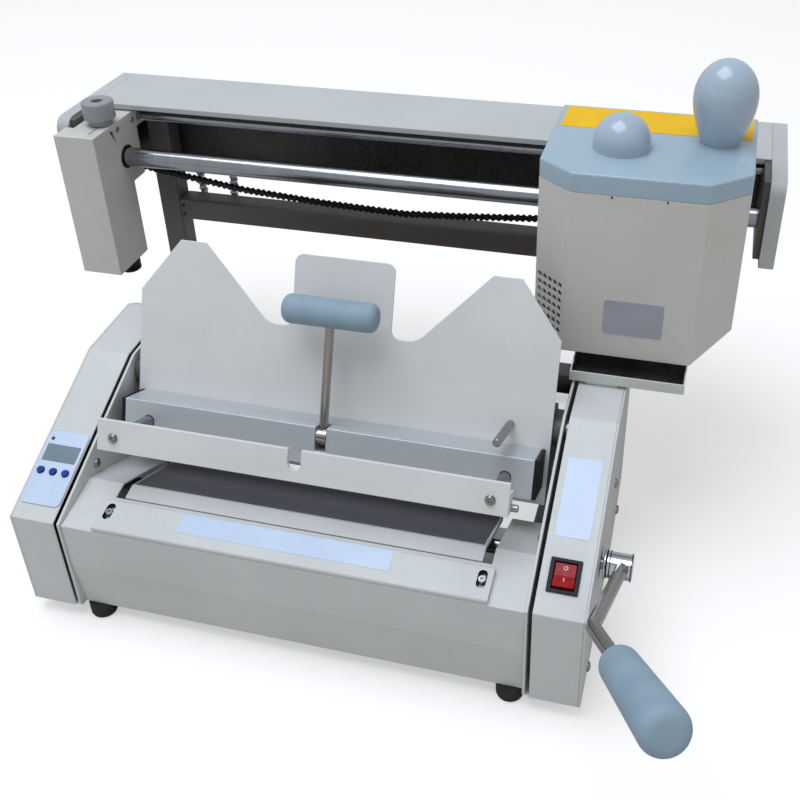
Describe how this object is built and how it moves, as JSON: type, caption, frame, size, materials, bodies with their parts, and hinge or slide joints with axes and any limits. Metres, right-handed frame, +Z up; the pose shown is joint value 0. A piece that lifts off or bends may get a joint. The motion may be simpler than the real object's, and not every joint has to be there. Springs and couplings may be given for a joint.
{
  "type": "hot melt binding machine",
  "caption": "Desktop hot melt book binder: book clamp over a lifting table, lidded glue head and notching carriage sliding on rods behind it, side lever and switch panel.",
  "frame": {"origin": "on the floor, under the middle of the machine's overall width and depth", "axes": "+X to the operator's right, +Y to the back, +Z up"},
  "size_m": [0.7332, 0.6802, 0.454],
  "materials": {
    "pale_powder_coat": "fine texture powder coat, satin",
    "dark_frame_paint": "dark brown-grey paint, satin",
    "blue_grey_plastic": "moulded, soft gloss",
    "chrome": "polished",
    "ground_steel": "ground and plated",
    "black_plastic": "matt black",
    "black_steel": "black oxide",
    "rubber": "matt",
    "aluminium": "cast and machined",
    "bronze": "sintered",
    "dark_sheet": "dark grey, satin",
    "white_panel": "printed film, bare",
    "display": "smoked window",
    "circuit_board": "green laminate",
    "white_wrap": "spiral wrap",
    "red_plastic": "translucent moulded",
    "blue_plastic": "moulded"
  },
  "bodies": {
    "machine": {"base_pan": "pale_powder_coat", "rubber_feet": "rubber", "base_front_cover": "pale_powder_coat", "inner_plates": "pale_powder_coat", "side_covers": "pale_powder_coat", "side_panels": "pale_powder_coat", "rear_cross_member": "dark_frame_paint", "base_rails": "dark_frame_paint", "uprights": "dark_frame_paint", "cross_tube": "dark_frame_paint", "main_beam": "dark_frame_paint", "beam_cover": "pale_powder_coat", "end_caps": "pale_powder_coat", "end_plates": "black_steel", "slide_rods": "chrome", "drive_chain": "black_steel", "drip_tray": "pale_powder_coat", "table_bridge": "ground_steel", "shaft_bearings": "bronze", "pivot_pins": "black_steel", "control_panel": "white_panel", "display_window": "display", "rocker_bezel": "black_plastic", "controller_board": "circuit_board", "power_inlet": "black_plastic", "cable_harness": "white_wrap", "cover_screws": "ground_steel"},
    "glue_head": {"head_body": "pale_powder_coat", "head_carriage": "black_steel", "rod_bushes": "bronze", "glue_tank": "aluminium", "heater_cartridges": "ground_steel", "lid_hinge_pins": "ground_steel"},
    "lid": {"head_lid": "blue_grey_plastic", "push_knob": "blue_grey_plastic", "dome_cap": "blue_grey_plastic"},
    "glue_roll": {"glue_wheel": "aluminium", "wheel_shaft": "ground_steel"},
    "notcher": {"notcher_body": "pale_powder_coat"},
    "cutter": {"notcher_cutter": "black_steel", "notcher_knob": "pale_powder_coat"},
    "clamp": {"back_plate": "pale_powder_coat", "front_bar": "pale_powder_coat", "guide_rods": "ground_steel", "clamp_pins": "ground_steel", "clamp_cheeks": "black_steel"},
    "moving_jaw": {"clamp_bar": "pale_powder_coat", "clamp_bar_caps": "black_plastic"},
    "jaw_lever": {"lever_arm": "chrome", "lever_grip": "blue_grey_plastic"},
    "crank": {"crank_arm": "chrome", "crank_grip": "blue_grey_plastic", "cam_shaft": "ground_steel"},
    "table": {"press_table": "pale_powder_coat", "table_insert": "dark_sheet"},
    "gauge": {"gauge_plate": "pale_powder_coat"},
    "rocker_key": {"rocker": "red_plastic"},
    "key_1": {"button_1": "blue_plastic"},
    "key_2": {"button_2": "blue_plastic"},
    "key_3": {"button_3": "blue_plastic"}
  },
  "joints": [
    {"name": "head_slide", "type": "slide", "parent": "machine", "child": "glue_head", "axis": [-1, 0, 0], "range_m": [0, 0.455]},
    {"name": "glue_wheel_turn", "type": "hinge", "parent": "glue_head", "child": "glue_roll", "pos_m": [0.24725, 0.1486, 0.269], "axis": [0, 1, 0], "continuous": true},
    {"name": "lid_hinge", "type": "hinge", "parent": "glue_head", "child": "lid", "pos_m": [0.24725, 0.2146, 0.3705], "axis": [-1, 0, 0], "range_deg": [0, 75]},
    {"name": "notcher_slide", "type": "slide", "parent": "machine", "child": "notcher", "axis": [-1, 0, 0], "range_m": [-0.46, 0]},
    {"name": "cutter_turn", "type": "hinge", "parent": "notcher", "child": "cutter", "pos_m": [-0.322, 0.2101, 0.1697], "axis": [0, 0, 1], "continuous": true},
    {"name": "clamp_tilt", "type": "hinge", "parent": "machine", "child": "clamp", "pos_m": [0, 0.01644, 0.16703], "axis": [1, 0, 0], "range_deg": [-22.5, 0]},
    {"name": "jaw_slide", "type": "slide", "parent": "clamp", "child": "moving_jaw", "axis": [0, -0.9239, 0.3827], "range_m": [0, 0.042]},
    {"name": "lever_fold", "type": "hinge", "parent": "moving_jaw", "child": "jaw_lever", "pos_m": [0, -0.03447, 0.1617], "axis": [1, 0, 0], "range_deg": [0, 90]},
    {"name": "crank_turn", "type": "hinge", "parent": "machine", "child": "crank", "pos_m": [0, -0.0649, 0.0977], "axis": [-1, 0, 0], "range_deg": [0, 60]},
    {"name": "table_lift", "type": "slide", "parent": "machine", "child": "table", "axis": [0, 0.3827, 0.9239], "range_m": [0, 0.0058]},
    {"name": "gauge_shift", "type": "slide", "parent": "machine", "child": "gauge", "axis": [0, 0.9788, 0.2047], "range_m": [-0.0045, 0.0045]},
    {"name": "rocker_tilt", "type": "hinge", "parent": "machine", "child": "rocker_key", "pos_m": [0.2289, -0.11667, 0.12592], "axis": [1, 0, 0], "range_deg": [0, 16]},
    {"name": "button_1_press", "type": "slide", "parent": "machine", "child": "key_1", "axis": [0, 0.4104, -0.9119], "range_m": [0, 0.001], "stiffness_N_per_m": 400, "springref_m": -0.0003},
    {"name": "button_2_press", "type": "slide", "parent": "machine", "child": "key_2", "axis": [0, 0.4104, -0.9119], "range_m": [0, 0.001], "stiffness_N_per_m": 400, "springref_m": -0.0003},
    {"name": "button_3_press", "type": "slide", "parent": "machine", "child": "key_3", "axis": [0, 0.4104, -0.9119], "range_m": [0, 0.001], "stiffness_N_per_m": 400, "springref_m": -0.0003}
  ],
  "couplings": [
    {"joint": "glue_wheel_turn", "follows": "head_slide", "rad_per_m": -62.5},
    {"joint": "table_lift", "follows": "crank_turn", "m_per_rad": 0.0054431}
  ]
}
